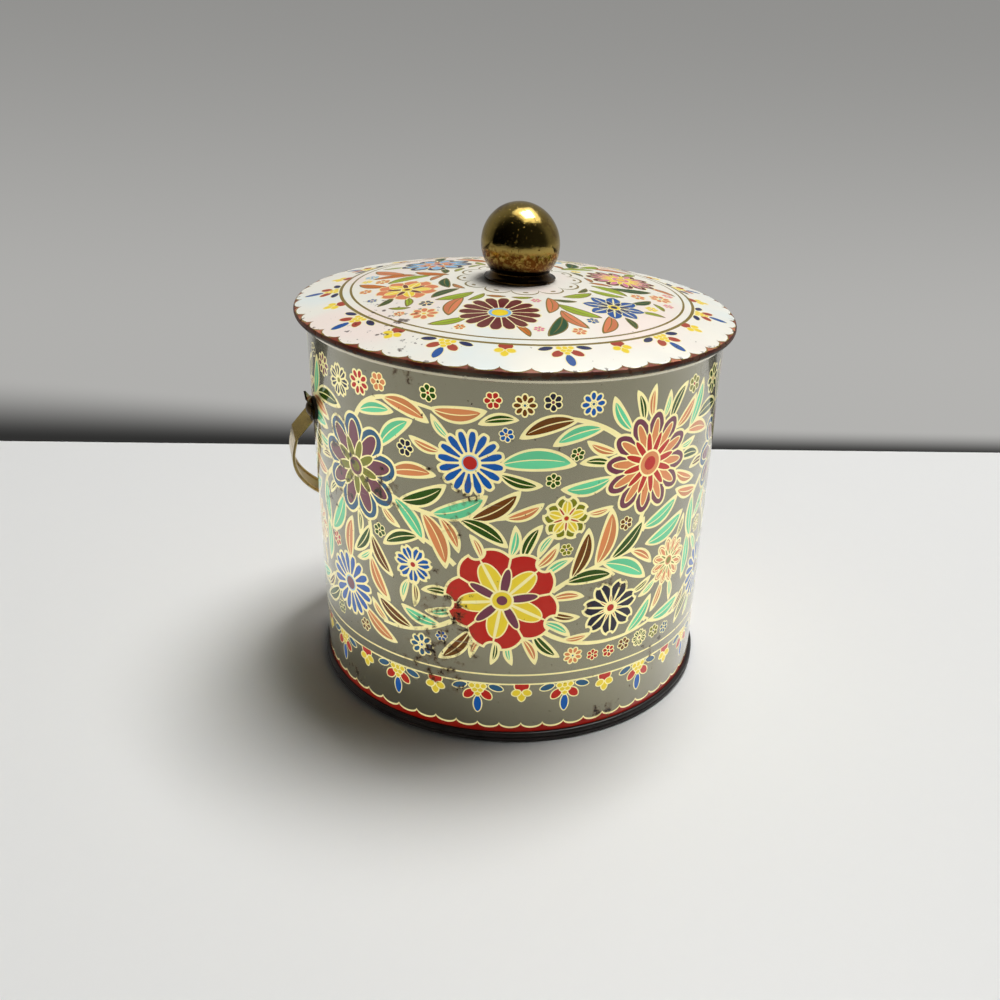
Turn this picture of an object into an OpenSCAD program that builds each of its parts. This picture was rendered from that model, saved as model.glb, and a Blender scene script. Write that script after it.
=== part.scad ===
// Round biscuit tin: a printed tinplate drum with a domed plug lid, a ball knob and a swing bail.
// The drum stands on the origin with its axis along Z. The bail turns about X and hangs at the back (+Y).

/* [Body] */
// Outside diameter of the wall
body_d = 138; // [110:1:180]
// Height from the table to the top of the wall's curled edge
body_h = 126; // [100:1:180]
// Thickness of the tinplate
sheet = 0.4; // [0.3:0.05:0.5]
// Radius of the curl along the wall's top edge
body_curl_r = 1; // [0.9:0.05:1.3]
// Width of the folded side seam
side_seam_w = 4; // [3:0.5:6]

/* [Base] */
// Height of the double seam round the base
base_seam_h = 3.6; // [3.2:0.1:5]
// How far the double seam stands out from the wall
base_seam_t = 1.4; // [1.2:0.1:2]
// Height of the base panel's underside above the table
panel_lift = 2.6; // [1.5:0.1:2.8]

/* [Lid] */
// How far the lid's curled edge overhangs the wall
lid_overhang = 3.5; // [3:0.1:4]
// Radius of the curl along the lid's edge
lid_curl_r = 1.3; // [1.1:0.05:1.5]
// Rise of the dome above the top of the curled edge
dome_rise = 8.8; // [5:0.2:14]
// Depth of the plug ring below the wall's top edge
plug_depth = 11.5; // [8:0.5:15]
// Width of the plug ring's turned-in hem
plug_hem = 1.2; // [0.8:0.1:2]

/* [Knob] */
// Diameter of the ball
ball_d = 25.6; // [22:0.2:32]
// Thickness of the ball's wall
ball_wall = 0.6; // [0.4:0.1:1]
// Diameter of the ball's neck, where it meets the collar
neck_d = 19.4; // [16:0.2:21]
// Diameter of the collar's foot
collar_d = 23.4; // [21.6:0.2:30]
// Height of the collar
collar_h = 2.4; // [1.8:0.1:4]
// Thickness of the rim round the collar's foot
collar_rim = 0.4; // [0.3:0.1:1.2]
// Diameter of the threaded block inside the ball
insert_d = 8.4; // [7:0.2:12]
// Height of the threaded block above its flange
insert_h = 9; // [7:0.5:12]
// Thickness of the block's flange
insert_flange = 1.2; // [0.8:0.1:2]
// Diameter of the screw's shank
screw_d = 4; // [3:0.1:5]
// Diameter of the screw's head
screw_head_d = 7.5; // [6.5:0.1:9]
// Height of the screw's head
screw_head_h = 2.2; // [1.8:0.1:3]
// Width of the slot in the screw's head
screw_slot_w = 1; // [0.8:0.1:1.4]
// Depth of the slot in the screw's head
screw_slot_depth = 1.1; // [0.8:0.1:1.4]
// Length of thread in the block
screw_grip = 7; // [4:0.5:9]
// Diameter of the washer under the lid
washer_d = 12; // [10:0.5:18]
// Thickness of the washer under the lid
washer_t = 0.8; // [0.5:0.1:1.5]

/* [Bail] */
// Width of the strip
strip_w = 6; // [5:0.5:9]
// Thickness of the strip
strip_t = 0.6; // [0.5:0.05:0.8]
// Radius of the strip's rolled edges
strip_edge_r = 0.55; // [0.5:0.05:0.8]
// Straight length of each leg, from the pivot to the arch
leg_len = 27; // [22:1:45]
// Length of leg over which the joggle runs out to the straight
joggle_len = 17.5; // [16:0.5:20]
// Diameter of the eye at the end of each leg
eye_d = 8; // [7:0.5:10]
// Length of the flared tongue beyond each eye, from the pivot
tongue_len = 9.5; // [6:0.5:12]
// How far the tongue flares outwards
tongue_flare = 2.6; // [1:0.2:3.4]
// Width of the tongue
tongue_w = 3; // [2.5:0.5:6]
// Depth of the pivots below the wall's top edge
pivot_drop = 27.5; // [22:0.5:40]
// Diameter of the pivot rivet's shank
rivet_d = 3; // [2.4:0.1:4]
// Diameter of the rivet's head
rivet_head_d = 5; // [4.6:0.1:7]
// Height of the rivet's domed head
rivet_head_h = 1.1; // [0.8:0.1:1.6]
// Height of the rivet's upset end inside the wall
rivet_tail_h = 1.1; // [0.8:0.1:1.6]
// Diameter of the lug pads
lug_d = 7.5; // [6:0.5:12]
// Thickness of the lug pads on the pivot axis
lug_t = 0.8; // [0.6:0.1:1.2]
// Diameter of the washers inside the wall
burr_d = 8; // [7:0.5:10]
// Thickness of the washers inside the wall
burr_t = 0.6; // [0.5:0.1:1]

/* [Clearances] */
// Gap between fixed pieces that are soldered, seamed or clamped
fixed_gap = 0.05; // [0.03:0.01:0.1]
// Gap between the lid's curl and the wall's curl
seat_gap = 0.2; // [0.1:0.05:0.3]
// Radial gap between the plug ring and the wall
plug_gap = 0.3; // [0.2:0.05:0.6]
// Gap on each side of a turning eye
eye_gap = 0.3; // [0.2:0.05:0.5]
// Radial running clearance of the pivots
pivot_gap = 0.06; // [0.03:0.01:0.1]
// Gap between the bail's legs and the lid's edge
bail_lid_gap = 1.1; // [0.5:0.1:1.5]
// Gap left between the lowered bail and the wall
bail_rest_gap = 0.3; // [0.2:0.05:0.5]

/* [Hidden] */
$fn = 180;

// Wall and its curl
wall_r = body_d / 2;
wall_in = wall_r - sheet;
body_curl_c = wall_in + body_curl_r;
body_curl_z = body_h - body_curl_r;
wall_foot_z = sheet + fixed_gap;
plug_foot_z = body_h - plug_depth;

// Lid: its curl sits on the wall's curl, and the dome is a sphere that runs into the lid's curl
lid_r = wall_r + lid_overhang;
lid_curl_c = lid_r - lid_curl_r;
curl_reach = body_curl_r + lid_curl_r + seat_gap;
lid_curl_z = body_curl_z + sqrt(pow(curl_reach, 2) - pow(lid_curl_c - body_curl_c, 2));
crown = dome_rise + lid_curl_r;
dome_r = (pow(lid_curl_c, 2) + pow(crown, 2) - pow(lid_curl_r, 2)) / (2 * dome_rise);
dome_cz = lid_curl_z + crown - dome_r;
dome_top = lid_curl_z + crown;
dome_edge = atan2(lid_curl_c, lid_curl_z - dome_cz);
plug_r = wall_in - plug_gap;
plug_flange_r = lid_curl_c - lid_curl_r;

// Height of the dome at a radius, a depth below its outer face
function dome_z(r, depth) = dome_cz + sqrt(pow(dome_r - depth, 2) - pow(r, 2));

// Knob, stacked on the crown of the dome
screw_r = screw_d / 2;
neck_r = neck_d / 2;
ball_r = ball_d / 2;
ball_in = ball_r - ball_wall;
collar_z = dome_top + fixed_gap;
neck_z = collar_z + collar_h + fixed_gap;
ball_z = neck_z + sqrt(pow(ball_r, 2) - pow(neck_r, 2));
neck_in = sqrt(pow(ball_in, 2) - pow(ball_z - neck_z, 2));
insert_top = neck_z + insert_flange + insert_h;
washer_top = dome_z(washer_d / 2, sheet) - fixed_gap;
screw_seat = washer_top - washer_t - fixed_gap;

// Bail: pivots through the wall on the X axis
pivot_z = body_h - pivot_drop;
rivet_r = rivet_d / 2;
lug_face = wall_r + lug_t;
eye_in = lug_face + eye_gap;
eye_out = eye_in + strip_t;
head_seat = eye_out + eye_gap;
leg_out = lid_r + bail_lid_gap + 2 * strip_edge_r;
leg_in = leg_out - strip_t;
edge_c = leg_out - strip_edge_r;
edge_side = strip_w / 2 - strip_edge_r;
edge_apex = leg_len + edge_c;
burr_seat = sqrt(pow(wall_in, 2) - pow(burr_d / 2, 2)) - fixed_gap;
burr_face = burr_seat - burr_t;

// Angle of the lowered bail below level, where its lower edge meets the wall
rest_drop = acos((wall_r + bail_rest_gap + strip_edge_r) / norm([edge_apex, edge_side])) - atan2(edge_side, edge_apex);
rest_turn = -(90 + rest_drop);
echo(bail_sweep_deg = -2 * rest_turn, pivot_z = pivot_z, rest_drop = rest_drop, height = ball_z + ball_r);

// A wedge of a plane from one angle to another, for cutting rings into curls
module wedge(from, to, reach) {
    polygon([[0, 0], for (i = [0:4]) reach * [cos(from + (to - from) * i / 4), sin(from + (to - from) * i / 4)]]);
}

// Section of a curled edge: a ring of sheet, open between two angles
module curl(radius, open_from, open_to) {
    difference() {
        circle(r = radius);
        circle(r = radius - sheet);
        wedge(open_from, open_to, 3 * radius);
    }
}

// Section of a spherical sheet under the dome, between two depths, from the axis out to an angle
module dome_sheet(top, bottom, edge) {
    translate([0, dome_cz]) intersection() {
        difference() {
            circle(r = dome_r - top, $fn = 720);
            circle(r = dome_r - bottom, $fn = 720);
        }
        polygon([[0, 0], [0, 2 * dome_r], 2 * dome_r * [sin(edge), cos(edge)]]);
    }
}

// A bar along X from one distance to another, on the pivot axis
module pivot_bar(r, from, to) {
    translate([from, 0, pivot_z]) rotate([0, 90, 0]) cylinder(r = r, h = to - from);
}

// Half section of a domed cap about an upright axis, its flat at a height and its dome along +1 or -1
module cap_section(r, h, at, way) {
    cap_r = (r * r + h * h) / (2 * h);
    intersection() {
        translate([0, at + way * (h - cap_r)]) circle(r = cap_r);
        translate([0, way > 0 ? at : at - h]) square([r, h]);
    }
}

module body_wall() {
    seam_turn = 360 * side_seam_w / (2 * PI * wall_in);
    color("darkgray") difference() {
        union() {
            rotate_extrude() {
                translate([wall_in, wall_foot_z]) square([sheet, body_curl_z - wall_foot_z]);
                translate([body_curl_c, body_curl_z]) curl(body_curl_r, 185, 280);
            }
            rotate([0, 0, 90 - seam_turn / 2]) rotate_extrude(angle = seam_turn)
                translate([wall_in - sheet, base_seam_h]) square([1.5 * sheet, plug_foot_z - 2 * base_seam_h]);
        }
        pivot_bar(rivet_r + fixed_gap, -2 * wall_r, 2 * wall_r);
    }
}

module base_end() {
    seam_out = wall_r + base_seam_t;
    seam_in = wall_in - fixed_gap - sheet;
    bead_r = (seam_out - wall_r - fixed_gap) * 0.75;
    color("black") rotate_extrude() {
        translate([0, panel_lift]) square([seam_in + sheet, sheet]);
        translate([seam_in, 0]) square([sheet, panel_lift + sheet]);
        translate([seam_in, 0]) square([seam_out - bead_r - seam_in, sheet]);
        translate([wall_r + fixed_gap, 0]) square([seam_out - bead_r - wall_r - fixed_gap, base_seam_h - bead_r / 2]);
        for (z = [bead_r, base_seam_h - bead_r]) intersection() {
            translate([seam_out - bead_r, z]) circle(r = bead_r);
            translate([wall_r + fixed_gap, 0]) square([base_seam_t, base_seam_h]);
        }
        translate([wall_r + fixed_gap, bead_r]) square([base_seam_t - fixed_gap - bead_r / 3, base_seam_h - 2 * bead_r]);
    }
}

module lid_cover() {
    color("ivory") difference() {
        rotate_extrude() {
            dome_sheet(0, sheet, dome_edge);
            translate([lid_curl_c, lid_curl_z]) curl(lid_curl_r, 95 - dome_edge, 165);
        }
        translate([0, 0, lid_curl_z]) cylinder(r = screw_r + fixed_gap, h = 2 * crown);
    }
}

module lid_plug() {
    flange_top = sheet + fixed_gap;
    flange_edge = asin(plug_flange_r / (dome_r - flange_top));
    color("silver") rotate_extrude() {
        intersection() {
            dome_sheet(flange_top, flange_top + sheet, flange_edge);
            translate([plug_r - sheet, 0]) square([plug_r, 2 * body_h]);
        }
        translate([plug_r - sheet, plug_foot_z])
            square([sheet, dome_z(plug_r, flange_top + sheet / 2) - plug_foot_z]);
        translate([plug_r - plug_hem, plug_foot_z]) square([plug_hem, sheet]);
    }
}

module knob_shell() {
    color("peru") difference() {
        translate([0, 0, ball_z]) sphere(r = ball_r);
        translate([0, 0, ball_z]) sphere(r = ball_in);
        translate([0, 0, neck_z - ball_d]) cylinder(r = ball_d, h = ball_d);
    }
}

module knob_insert() {
    color("gray") difference() {
        union() {
            translate([0, 0, neck_z]) cylinder(r = neck_in - fixed_gap, h = insert_flange);
            translate([0, 0, neck_z]) cylinder(d = insert_d, h = insert_top - neck_z);
        }
        translate([0, 0, neck_z - fixed_gap]) cylinder(r = screw_r + fixed_gap, h = screw_grip + 2 * fixed_gap);
    }
}

module knob_collar() {
    collar_r = collar_d / 2;
    flare = collar_h - collar_rim;
    color("saddlebrown") translate([0, 0, collar_z]) rotate_extrude() difference() {
        translate([screw_r + fixed_gap, 0]) square([collar_r - screw_r - fixed_gap, collar_h]);
        translate([collar_r, collar_h]) scale([(collar_r - neck_r) / flare, 1]) circle(r = flare);
    }
}

module knob_screw() {
    color("gray") difference() {
        union() {
            translate([0, 0, screw_seat - screw_head_h]) cylinder(d = screw_head_d, h = screw_head_h);
            translate([0, 0, screw_seat - screw_head_h / 2])
                cylinder(r = screw_r, h = neck_z + screw_grip - screw_seat + screw_head_h / 2);
        }
        translate([-screw_head_d, -screw_slot_w / 2, screw_seat - screw_head_h - screw_slot_depth])
            cube([2 * screw_head_d, screw_slot_w, 2 * screw_slot_depth]);
    }
}

module knob_washer() {
    color("gray") translate([0, 0, washer_top - washer_t]) difference() {
        cylinder(d = washer_d, h = washer_t);
        translate([0, 0, -washer_t]) cylinder(r = screw_r + fixed_gap, h = 3 * washer_t);
    }
}

// Outline of the strip seen along its width, pivot at the origin and arch upwards
module bail_outline() {
    translate([0, leg_len]) intersection() {
        difference() {
            circle(r = leg_out);
            circle(r = leg_in);
        }
        translate([-leg_out, 0]) square([2 * leg_out, leg_out]);
    }
    for (side = [-1, 1]) scale([side, 1]) polygon([
        [eye_in, 0], [eye_out, 0], [eye_out, eye_d / 2], [leg_out, joggle_len], [leg_out, leg_len],
        [leg_in, leg_len], [leg_in, joggle_len], [eye_in, eye_d / 2]]);
}

// Outline of the tongues beyond the eyes, flared away from the wall
module tongue_outline() {
    for (side = [-1, 1]) scale([side, 1]) polygon([
        [eye_in, 0], [eye_out, 0], [eye_out, -eye_d / 2], [eye_out + tongue_flare, -tongue_len],
        [eye_in + tongue_flare, -tongue_len], [eye_in, -eye_d / 2]]);
}

// The bail as it stands when raised, pivot at the origin
module raised_bail() {
    difference() {
        union() {
            rotate([90, 0, 0]) translate([0, 0, -strip_w / 2]) linear_extrude(strip_w) bail_outline();
            rotate([90, 0, 0]) translate([0, 0, -tongue_w / 2]) linear_extrude(tongue_w) tongue_outline();
            for (side = [-1, 1]) {
                translate([side * eye_in, 0, 0]) rotate([0, side * 90, 0]) cylinder(d = eye_d, h = strip_t);
                for (edge = [-1, 1]) translate([side * edge_c, edge * edge_side, joggle_len]) {
                    cylinder(r = strip_edge_r, h = leg_len - joggle_len);
                    sphere(r = strip_edge_r);
                }
            }
            for (edge = [-1, 1]) translate([0, edge * edge_side, leg_len]) rotate([90, 0, 0])
                rotate_extrude(angle = 180) translate([edge_c, 0]) circle(r = strip_edge_r);
        }
        translate([-2 * wall_r, 0, 0]) rotate([0, 90, 0]) cylinder(r = rivet_r + pivot_gap, h = 4 * wall_r);
    }
}

module bail() {
    color("darkgoldenrod") translate([0, 0, pivot_z]) rotate([rest_turn, 0, 0]) raised_bail();
}

// A pad whose back follows the wall
module lug(side) {
    color("dimgray") scale([side, 1, 1]) difference() {
        pivot_bar(lug_d / 2, wall_r - lug_t, lug_face);
        cylinder(r = wall_r + fixed_gap, h = 2 * body_h);
        pivot_bar(rivet_r + fixed_gap, 0, 2 * wall_r);
    }
}

module rivet(side) {
    tail_seat = burr_face - fixed_gap;
    color("sienna") translate([0, 0, pivot_z]) rotate([0, side * 90, 0]) rotate_extrude() {
        translate([0, tail_seat]) square([rivet_r, head_seat - tail_seat]);
        cap_section(rivet_head_d / 2, rivet_head_h, head_seat, 1);
        cap_section(burr_d / 2 - burr_t, rivet_tail_h, tail_seat, -1);
    }
}

module burr(side) {
    color("silver") mirror([side > 0 ? 0 : 1, 0, 0]) difference() {
        pivot_bar(burr_d / 2, burr_face, burr_seat);
        pivot_bar(rivet_r + fixed_gap, 0, 2 * wall_r);
    }
}

body_wall();
base_end();
lid_cover();
lid_plug();
knob_shell();
knob_insert();
knob_collar();
knob_screw();
knob_washer();
bail();
lug(-1);  // lug_left
lug(1);  // lug_right
rivet(-1);  // rivet_left
rivet(1);  // rivet_right
burr(-1);  // burr_left
burr(1);  // burr_right
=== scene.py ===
import math

import bpy
import numpy as np
from mathutils import Matrix, Vector


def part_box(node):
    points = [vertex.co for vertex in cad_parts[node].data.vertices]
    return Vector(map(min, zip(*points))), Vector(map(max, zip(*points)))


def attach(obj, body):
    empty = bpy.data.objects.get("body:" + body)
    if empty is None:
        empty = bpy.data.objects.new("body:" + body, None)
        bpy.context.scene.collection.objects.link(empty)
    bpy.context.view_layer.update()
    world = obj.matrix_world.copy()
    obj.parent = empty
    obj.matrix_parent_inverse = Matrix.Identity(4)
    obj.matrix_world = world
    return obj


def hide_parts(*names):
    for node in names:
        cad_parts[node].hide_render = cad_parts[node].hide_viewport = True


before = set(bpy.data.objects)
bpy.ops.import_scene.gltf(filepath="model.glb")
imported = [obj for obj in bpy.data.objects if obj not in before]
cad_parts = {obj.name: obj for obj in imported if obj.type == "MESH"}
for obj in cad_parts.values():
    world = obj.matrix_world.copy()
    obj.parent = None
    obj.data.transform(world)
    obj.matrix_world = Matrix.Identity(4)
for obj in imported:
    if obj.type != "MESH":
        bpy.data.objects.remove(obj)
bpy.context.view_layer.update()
mm = 0.001
print("frame loaded:", len(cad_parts), "nodes")


# an ink or paint given in 0..255 display values, as linear light
def ink(red, green, blue):
    shown = np.array([red, green, blue]) / 255
    return np.where(shown <= 0.04045, shown / 12.92, ((shown + 0.055) / 1.055) ** 2.4)


# an arithmetic sign between wires and numbers, as a math node
def sign(operation, swapped=False):
    def work(one, other):
        return calc(one.tree, operation, *((other, one) if swapped else (one, other)))
    return work


# a value travelling through a node tree, so that formulas are written as formulas
class Wire:
    def __init__(self, tree, socket):
        self.tree = tree
        self.socket = socket

    def __abs__(self):
        return calc(self.tree, "ABSOLUTE", self)

    __add__ = sign("ADD")
    __radd__ = sign("ADD", swapped=True)
    __sub__ = sign("SUBTRACT")
    __rsub__ = sign("SUBTRACT", swapped=True)
    __mul__ = sign("MULTIPLY")
    __truediv__ = sign("DIVIDE")
    __rtruediv__ = sign("DIVIDE", swapped=True)
    __pow__ = sign("POWER")
    __gt__ = sign("GREATER_THAN")
    __lt__ = sign("LESS_THAN")


def feed(tree, slot, value):
    if isinstance(value, Wire):
        tree.links.new(value.socket, slot)
    elif slot.type == "RGBA":
        slot.default_value = (*value[:3], 1)
    else:
        slot.default_value = value


def calc(tree, operation, *values):
    node = tree.nodes.new("ShaderNodeMath")
    node.operation = operation
    for slot, value in zip(node.inputs, values):
        feed(tree, slot, value)
    return Wire(tree, node.outputs[0])


# paints one colour over another where the amount is 1
def layer(tree, amount, under, over):
    node = tree.nodes.new("ShaderNodeMix")
    node.data_type = "RGBA"
    feed(tree, node.inputs["Factor"], amount)
    feed(tree, node.inputs[6], under)
    feed(tree, node.inputs[7], over)
    return Wire(tree, node.outputs[2])


# lays inks one over the other, each where its mask is 1, and keeps count of what is covered
def overprint(tree, colour, inked, prints):
    for mask, paint in prints:
        colour = layer(tree, mask, colour, paint)
        inked = most(inked, mask) if inked else mask
    return colour, inked


def apart(vector):
    node = vector.tree.nodes.new("ShaderNodeSeparateXYZ")
    feed(vector.tree, node.inputs[0], vector)
    return [Wire(vector.tree, socket) for socket in node.outputs]


def together(tree, x, y, z):
    node = tree.nodes.new("ShaderNodeCombineXYZ")
    for slot, value in zip(node.inputs, (x, y, z)):
        feed(tree, slot, value)
    return Wire(tree, node.outputs[0])


def least(first, *others):
    for other in others:
        first = calc(first.tree, "MINIMUM", first, other)
    return first


def most(first, *others):
    for other in others:
        first = calc(first.tree, "MAXIMUM", first, other)
    return first


def newGroup(name, inputs, outputs):
    tree = bpy.data.node_groups.new(name, "ShaderNodeTree")
    for label, kind in inputs.items():
        tree.interface.new_socket(label, in_out="INPUT", socket_type="NodeSocket" + kind)
    for label, kind in outputs.items():
        tree.interface.new_socket(label, in_out="OUTPUT", socket_type="NodeSocket" + kind)
    start = tree.nodes.new("NodeGroupInput")
    end = tree.nodes.new("NodeGroupOutput")
    wires = {label: Wire(tree, start.outputs[label]) for label in inputs}
    return tree, wires, lambda label, value: feed(tree, end.inputs[label], value)


def place(tree, group, values):
    node = tree.nodes.new("ShaderNodeGroup")
    node.node_tree = group
    for label, value in values.items():
        feed(tree, node.inputs[label], value)
    return {socket.name: Wire(tree, socket) for socket in node.outputs}


def attribute(tree, name, output="Vector"):
    node = tree.nodes.new("ShaderNodeAttribute")
    node.attribute_name = name
    return Wire(tree, node.outputs[output])


def noise(tree, at, scale, detail=3.0, rough=0.55):
    node = tree.nodes.new("ShaderNodeTexNoise")
    feed(tree, node.inputs["Vector"], at)
    feed(tree, node.inputs["Scale"], scale)
    node.inputs["Detail"].default_value = detail
    node.inputs["Roughness"].default_value = rough
    return Wire(tree, node.outputs["Fac"])


def coordinates(tree, kind="Object"):
    node = tree.nodes.new("ShaderNodeTexCoord")
    return Wire(tree, node.outputs[kind])


# a smooth step of a value from 0 at low to 1 at high
def ramp(value, low, high):
    node = value.tree.nodes.new("ShaderNodeMapRange")
    node.interpolation_type = "SMOOTHSTEP"
    for slot, number in zip(node.inputs[:3], (value, low, high)):
        feed(value.tree, slot, number)
    return Wire(value.tree, node.outputs[0])


def newMaterial(name):
    material = bpy.data.materials.new(name)
    material.use_nodes = True
    tree = material.node_tree
    return material, tree, tree.nodes["Principled BSDF"]


def bump(tree, shader, height, distance):
    node = tree.nodes.new("ShaderNodeBump")
    node.inputs["Distance"].default_value = distance
    feed(tree, node.inputs["Height"], height)
    tree.links.new(node.outputs[0], shader.inputs["Normal"])


# a lens or oval along one axis: half width times (4 t (1 - t)) ** power, less the distance across
def makePetalField():
    tree, wire, give = newGroup(
        "petalField",
        {label: "Float" for label in ("Along", "Across", "Start", "End", "Half", "Power")},
        {"Inside": "Float"})
    part = (wire["Along"] - wire["Start"]) / (wire["End"] - wire["Start"])
    hump = most(part * (1 - part) * 4, 0.0)
    give("Inside", wire["Half"] * hump ** wire["Power"] - abs(wire["Across"]))
    return tree


petalField = makePetalField()


# whether a point is in a petal; power 0.5 makes it an oval, more than that a lens
def petal(tree, along, across, start, end, half, power=0.5):
    values = {"Along": along, "Across": across, "Start": start, "End": end, "Half": half, "Power": power}
    return place(tree, petalField, values)["Inside"] > 0


# lines of a flower as shares of the line's width, places as shares of the radius
flowerShape = {"lineMost": 0.13, "seamLine": 0.45, "insetEnd": 0.6, "insetSide": 0.5, "veinEnd": 0.86,
               "tierStart": 0.1, "tierEnd": 0.8, "tierSide": 0.6, "heartLine": 0.8}


# a flower about Local's origin, Local.z being its radius: the angle is folded into one petal's sector
def makePrintedFlower():
    tree, wire, give = newGroup(
        "printedFlower",
        {"Local": "Vector", "Petals": "Vector", "Tier": "Vector", "Heart": "Vector", "Inner": "Vector",
         "Petal Ink": "Color", "Tier Ink": "Color", "Heart Ink": "Color", "Line Ink": "Color",
         "Line": "Float"},
        {"Colour": "Color", "Mask": "Float"})
    shape = flowerShape
    x, y, radius = apart(wire["Local"])
    count, start, half = apart(wire["Petals"])
    tierEnd, tierHalf, power = apart(wire["Tier"])
    heart, streak, dot = apart(wire["Heart"])
    innerEnd, innerHalf, notch = apart(wire["Inner"])
    lineInk, tierInk, heartInk = wire["Line Ink"], wire["Tier Ink"], wire["Heart Ink"]
    x, y, line = x / radius, y / radius, least(wire["Line"] / radius, shape["lineMost"])
    reach = calc(tree, "SQRT", x * x + y * y)
    turns = calc(tree, "ARCTAN2", y, x) * count / (2 * math.pi)
    sector = 2 * math.pi / count
    swing = (turns - calc(tree, "ROUND", turns)) * sector
    along, across = reach * calc(tree, "COSINE", swing), reach * calc(tree, "SINE", swing)
    between = (calc(tree, "FRACT", turns) - 0.5) * sector
    tierAlong, tierAcross = reach * calc(tree, "COSINE", between), reach * calc(tree, "SINE", between)
    tip = along - 1
    bite = calc(tree, "SQRT", tip * tip + across * across) - notch
    outer = least(petal(tree, along, across, start, 1.0, half, power), bite > 0)
    seam = (sector * 0.5 - abs(swing)) * reach - line * shape["seamLine"]
    fill = least(petal(tree, along, across, start + line, 1 - line, half - line, power),
                 seam > 0, bite - line > 0)
    inset = petal(tree, along, across, start, innerEnd, innerHalf)
    insetLine = petal(tree, along, across, start, innerEnd + line * shape["insetEnd"],
                      innerHalf + line * shape["insetSide"])
    vein = petal(tree, along, across, start, shape["veinEnd"], streak)
    tierOuter = petal(tree, tierAlong, tierAcross, 0.0, tierEnd, tierHalf)
    tierInner = petal(tree, tierAlong, tierAcross, shape["tierStart"], tierEnd - line * shape["tierEnd"],
                      tierHalf - line * shape["tierSide"])
    hearted = reach < heart
    colour = layer(tree, fill, lineInk, wire["Petal Ink"])
    colour, covered = overprint(tree, colour, outer, (
        (fill * insetLine, lineInk), (fill * inset, tierInk), (fill * vein, lineInk), (tierOuter, lineInk),
        (tierInner, heartInk), (hearted, lineInk), (reach < heart - line * shape["heartLine"], tierInk),
        (reach < heart * dot, heartInk)))
    give("Colour", colour)
    give("Mask", covered)
    return tree


# a leaf's half width, bend and vein's end as shares of its length, its vein's half width in millimetres,
# its line at the root and the tip as shares of the line's width
leafShape = {"half": 0.158, "bend": 0.34, "power": 0.75, "vein": 0.18, "veinFrom": -2.0, "veinTo": 0.84,
             "rootLine": 1.5, "tipLine": 2.4, "shade": 0.16, "shadeInk": (0.02, 0.02, 0.0)}


# a leaf from Local's origin along x, Local.z being its length: a bent lens with a line round it and a vein
def makePrintedLeaf():
    tree, wire, give = newGroup(
        "printedLeaf",
        {"Local": "Vector", "Leaf Ink": "Color", "Line Ink": "Color", "Line": "Float"},
        {"Colour": "Color", "Mask": "Float"})
    shape = leafShape
    along, across, length = apart(wire["Local"])
    line, lineInk = wire["Line"], wire["Line Ink"]
    part = along / length
    across = across - part * (1 - part) * length * shape["bend"]
    half = length * shape["half"]
    outer = petal(tree, along, across, 0.0, length, half, shape["power"])
    tip = length - line * shape["tipLine"]
    inner = petal(tree, along, across, line * shape["rootLine"], tip, half - line, shape["power"])
    vein = petal(tree, along, across, shape["veinFrom"], length * shape["veinTo"], shape["vein"]) * outer
    shaded = layer(tree, (across > 0) * shape["shade"], wire["Leaf Ink"], shape["shadeInk"])
    colour = layer(tree, inner, lineInk, shaded)
    colour = layer(tree, vein, colour, lineInk)
    give("Colour", colour)
    give("Mask", outer)
    return tree


# scallops along an edge: round bulges of one pitch, the side beyond them, their line and the place in a bulge
def makeScallopEdge():
    tree, wire, give = newGroup(
        "scallopEdge",
        {label: "Float" for label in ("Along", "Height", "Pitch", "Depth", "Line")},
        {"Beyond": "Float", "Stroke": "Float", "Offset": "Float"})
    offset = (calc(tree, "FRACT", wire["Along"] / wire["Pitch"]) - 0.5) * 2
    bulge = wire["Depth"] * calc(tree, "SQRT", most(1 - offset * offset, 0.0))
    gap = wire["Height"] + bulge
    give("Beyond", gap < 0)
    give("Stroke", (gap > 0) * (gap < wire["Line"]))
    give("Offset", offset)
    return tree


dropPower = 0.6


# a drop from (At X, At Y), swung by Angle from straight down; mirrored by feeding it |x|
def makeDrop():
    tree, wire, give = newGroup(
        "hangingDrop",
        {label: "Float" for label in ("X", "Y", "At X", "At Y", "Angle", "Length", "Half", "Line")},
        {"Outline": "Float", "Fill": "Float"})
    x, y = wire["X"] - wire["At X"], wire["Y"] - wire["At Y"]
    sine, cosine = calc(tree, "SINE", wire["Angle"]), calc(tree, "COSINE", wire["Angle"])
    along, across = x * sine + y * cosine, x * cosine - y * sine
    length, half, line = wire["Length"], wire["Half"], wire["Line"]
    give("Outline", petal(tree, along, across, 0 - line, length + line, half + line, dropPower))
    give("Fill", petal(tree, along, across, 0.0, length, half, dropPower))
    return tree


printedFlower = makePrintedFlower()
printedLeaf = makePrintedLeaf()
scallopEdge = makeScallopEdge()
hangingDrop = makeDrop()

# the drops of a pendant: x and y where it hangs, swing in radians, length, half width and ink
fanDrops = [
    (0.0, 5.2, 0.0, 6.2, 1.25, "Centre Ink"),
    (1.4, 2.9, 0.75, 4.4, 1.4, "Side Ink"),
    (3.7, 0.9, 1.28, 4.8, 1.1, "Outer Ink"),
    (0.0, 3.4, 0.0, 1.7, 0.85, "Dot Ink"),
    (0.9, 1.9, 0.0, 1.7, 0.85, "Dot Ink"),
    (0.0, 0.4, 0.0, 1.7, 0.85, "Dot Ink"),
    (1.9, 0.4, 0.0, 1.7, 0.85, "Dot Ink"),
]
budDrops = [
    (0.0, -1.4, 0.0, 4.2, 2.3, "Side Ink"),
    (0.0, 3.4, 0.0, 3.2, 1.1, "Dot Ink"),
    (0.5, 2.8, 1.15, 2.8, 1.1, "Dot Ink"),
]


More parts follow.
